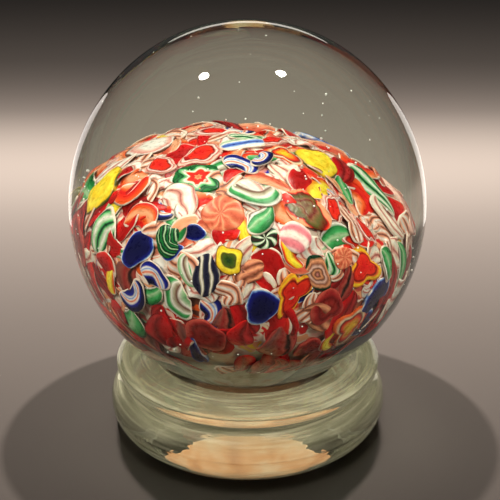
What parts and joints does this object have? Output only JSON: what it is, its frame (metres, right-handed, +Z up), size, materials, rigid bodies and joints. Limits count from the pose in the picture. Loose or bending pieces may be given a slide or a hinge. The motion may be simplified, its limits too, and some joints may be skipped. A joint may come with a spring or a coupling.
{
  "type": "paperweight",
  "caption": "Clear glass ball paperweight on a two-tier glass pedestal, with a domed cushion of scrambled coloured canes sealed inside.",
  "frame": {"origin": "middle of the flat ring that the foot stands on", "axes": "+Z up along the ball's and the pedestal's common axis, -Y towards the side that is normally looked at, +X to its right"},
  "size_m": [0.076, 0.076, 0.0904],
  "materials": {
    "crystal": "clear soda-lime glass with a faint grey-green cast, fire polished, seed bubbles",
    "peach_ground": "opaque peach glass, satin where it shows through the foot",
    "amber_wedge": "amber and yellow cased glass with a red edge, glossy",
    "blue_ribbon": "light blue ribbon cased in white, glossy",
    "brown_petal": "brown and pink petal with fine pale lines, glossy",
    "cobalt_curl": "cobalt glass curled with white and orange lines, glossy",
    "cobalt_lump": "dense cobalt blue lump, glossy",
    "dark_red_disc": "dark translucent red disc with fine rings, glossy",
    "green_curl": "green, white and brown bands folded over, glossy",
    "green_petal": "clear green over white petal, glossy",
    "green_shell": "pale green and white ribbed fan, glossy",
    "mauve_petal": "translucent mauve petal with red and brown streaks, glossy",
    "orange_disc": "translucent orange disc with fine rays, glossy",
    "orange_ribbon": "orange ribbon with white and red edges, glossy",
    "pink_ball": "pink and white wound ball, glossy",
    "pink_ribbon": "white, pink and brown lines in a clear ribbon, glossy",
    "pink_shell": "pale pink ribbed fan with brown lines, glossy",
    "pinwheel": "white and dark green twisted spokes, glossy",
    "red_lens": "bright red lens cased in white and pink, glossy",
    "red_petal": "translucent red petal, glossy",
    "red_wedge": "red glass with a yellow and orange border, glossy",
    "ringed_cane": "yellow ring round a dark green core, glossy",
    "smoke_disc": "translucent brown disc with red threads, glossy",
    "star_cane": "six-pointed red star round an orange core, cased in white and green",
    "striped_oval": "dark blue oval with white lines, glossy",
    "thread_ball": "dark green ball with fine pale threads, glossy",
    "white_lump": "milky white lump with pink edges, glossy",
    "yellow_lump": "opaque lemon yellow lump with a crumbly face, glossy"
  },
  "bodies": {
    "root": {"amber_wedge_1": "amber_wedge", "amber_wedge_2": "amber_wedge", "base_gather": "crystal", "blue_ribbon_1": "blue_ribbon", "brown_petal_1": "brown_petal", "cobalt_curl_1": "cobalt_curl", "cobalt_curl_2": "cobalt_curl", "cobalt_curl_3": "cobalt_curl", "cobalt_curl_4": "cobalt_curl", "cobalt_lump_1": "cobalt_lump", "cobalt_lump_2": "cobalt_lump", "cobalt_lump_3": "cobalt_lump", "cobalt_lump_4": "cobalt_lump", "crystal_dome": "crystal", "cushion_ground": "peach_ground", "dark_red_disc_1": "dark_red_disc", "dark_red_disc_2": "dark_red_disc", "dark_red_disc_3": "dark_red_disc", "green_curl_1": "green_curl", "green_curl_2": "green_curl", "green_petal_1": "green_petal", "green_petal_2": "green_petal", "green_petal_3": "green_petal", "green_petal_4": "green_petal", "green_shell_1": "green_shell", "mauve_petal_1": "mauve_petal", "orange_disc_1": "orange_disc", "orange_disc_2": "orange_disc", "orange_disc_3": "orange_disc", "orange_ribbon_1": "orange_ribbon", "orange_ribbon_2": "orange_ribbon", "pedestal_collar": "crystal", "pedestal_foot": "crystal", "pink_ball_1": "pink_ball", "pink_ribbon_1": "pink_ribbon", "pink_ribbon_2": "pink_ribbon", "pink_ribbon_3": "pink_ribbon", "pink_shell_1": "pink_shell", "pink_shell_2": "pink_shell", "pinwheel_1": "pinwheel", "red_lens_1": "red_lens", "red_lens_2": "red_lens", "red_lens_3": "red_lens", "red_lens_4": "red_lens", "red_lens_5": "red_lens", "red_petal_1": "red_petal", "red_petal_2": "red_petal", "red_petal_3": "red_petal", "red_wedge_1": "red_wedge", "red_wedge_2": "red_wedge", "ringed_cane_1": "ringed_cane", "smoke_disc_1": "smoke_disc", "star_cane_1": "star_cane", "star_cane_2": "star_cane", "striped_oval_1": "striped_oval", "thread_ball_1": "thread_ball", "white_lump_1": "white_lump", "yellow_lump_1": "yellow_lump", "yellow_lump_2": "yellow_lump", "yellow_lump_3": "yellow_lump"}
  },
  "joints": []
}
